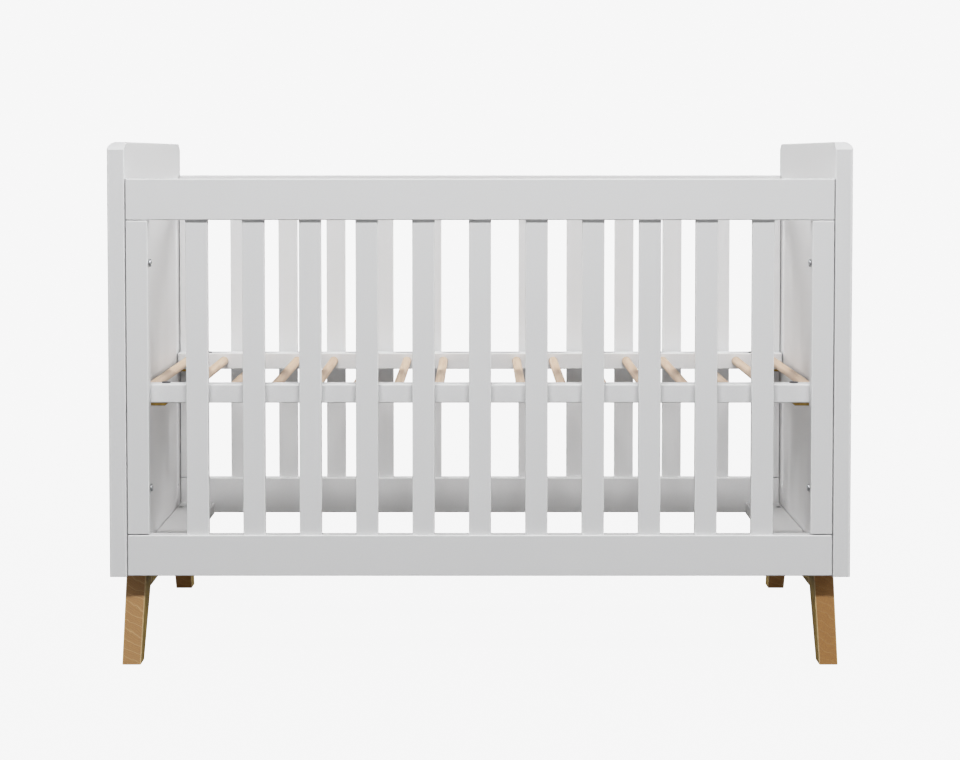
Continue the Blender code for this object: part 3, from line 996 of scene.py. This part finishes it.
def make_floor():
    """A pale floor whose shadows show faintly, and which fades into the background."""
    half = FLOOR_SIZE / 2
    mesh = bmesh.new()
    corners = ((-half, -half), (half, -half), (half, half), (-half, half))
    mesh.faces.new([mesh.verts.new((x, y, 0.0)) for x, y in corners])
    floor = loose_object("studio_floor", mesh)
    floor.location.z = cad_low.z - FLOOR_DROP
    shader = Shader("studio_floor")
    shader.tree.nodes.remove(shader.surface)
    place = shader.stretched()
    darker = tuple(value * FLOOR_CLOUD for value in FLOOR_COLOUR)
    tone = shader.mix(shader.noise(place, FLOOR_CLOUD_SCALE), FLOOR_COLOUR, darker)
    seen = shader.node("LightPath").outputs["Is Camera Ray"]
    diffuse = shader.node("BsdfDiffuse", {"Color": shader.mix(seen, FLOOR_BOUNCE, tone)}).outputs[0]
    white = {"Color": (1.0, 1.0, 1.0, 1.0), "Strength": BACKGROUND}
    glow = shader.node("Emission", white).outputs[0]
    distance = shader.node("VectorMath", {0: place}, operation="LENGTH").outputs["Value"]
    fade = {
        "Value": distance,
        "From Min": SHADE_NEAR,
        "From Max": SHADE_FAR,
        "To Min": FLOOR_SHADE,
        "To Max": 0.0,
    }
    shade = shader.node("MapRange", fade, interpolation_type="SMOOTHSTEP").outputs[0]
    glowing = shader.math("MULTIPLY", seen, shader.math("SUBTRACT", 1.0, shade))
    mixed = shader.node("MixShader", {0: glowing, 1: diffuse, 2: glow}).outputs[0]
    shader.tree.links.new(mixed, shader.tree.nodes["Material Output"].inputs["Surface"])
    floor.data.materials.append(shader.material)


def softbox(name, place, target, size, power):
    """A rectangular area lamp that faces its target."""
    lamp = bpy.data.lights.new(name, "AREA")
    lamp.shape = "RECTANGLE"
    lamp.size, lamp.size_y = size
    lamp.energy = power
    thing = bpy.data.objects.new(name, lamp)
    bpy.context.scene.collection.objects.link(thing)
    thing.location = place
    thing.rotation_euler = (Vector(target) - Vector(place)).to_track_quat("-Z", "Y").to_euler()


def make_lights():
    """A wide, shallow key light above the camera, a low strip in front, soft lights aside."""
    middle = (cad_low + cad_high) / 2
    key = middle + KEY_DISTANCE * Vector((0.0, -cos(KEY_LIFT), sin(KEY_LIFT)))
    softbox("key", key, middle, KEY_SIZE, KEY_POWER)
    softbox("low_front", LOW_FRONT_PLACE, middle, LOW_FRONT_SIZE, LOW_FRONT_POWER)
    for end_name, end in ENDS:
        for lamp_name, (x, y, z), power in SIDE_LAMPS:
            place = (end * x, y, z)
            softbox(f"{end_name}_{lamp_name}", place, SIDE_TARGET, SIDE_SIZE, power)
    x, y, z = FRONT_SIDE_PLACE
    for end_name, end in ENDS:
        power = FRONT_SIDE_POWER[end_name]
        softbox(end_name + "_front", (end * x, y, z), middle, FRONT_SIDE_SIZE, power)


# Camera, a little below the tops of the panels and tilted down; the shift frames the crib.
SENSOR_WIDTH = 36.0
LENS = 78.36
CAMERA_HEIGHT = 0.8690
CAMERA_CLEAR = 3.5421
CAMERA_TILT = radians(2.5)
CAMERA_SHIFT = -0.1383
CAMERA_REACH = 100.0


def make_camera():
    """The camera in front of the crib, on its middle plane."""
    camera = bpy.data.cameras.new("camera")
    camera.sensor_width = SENSOR_WIDTH
    camera.lens = LENS
    camera.shift_y = CAMERA_SHIFT
    camera.clip_end = CAMERA_REACH
    thing = bpy.data.objects.new("camera", camera)
    bpy.context.scene.collection.objects.link(thing)
    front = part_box("end_panel_left")[0].y
    thing.location = (0.0, front - CAMERA_CLEAR, CAMERA_HEIGHT)
    thing.rotation_euler = (pi / 2 - CAMERA_TILT, 0.0, 0.0)
    bpy.context.scene.camera = thing


make_world()
make_floor()
make_lights()
make_camera()
make_film()
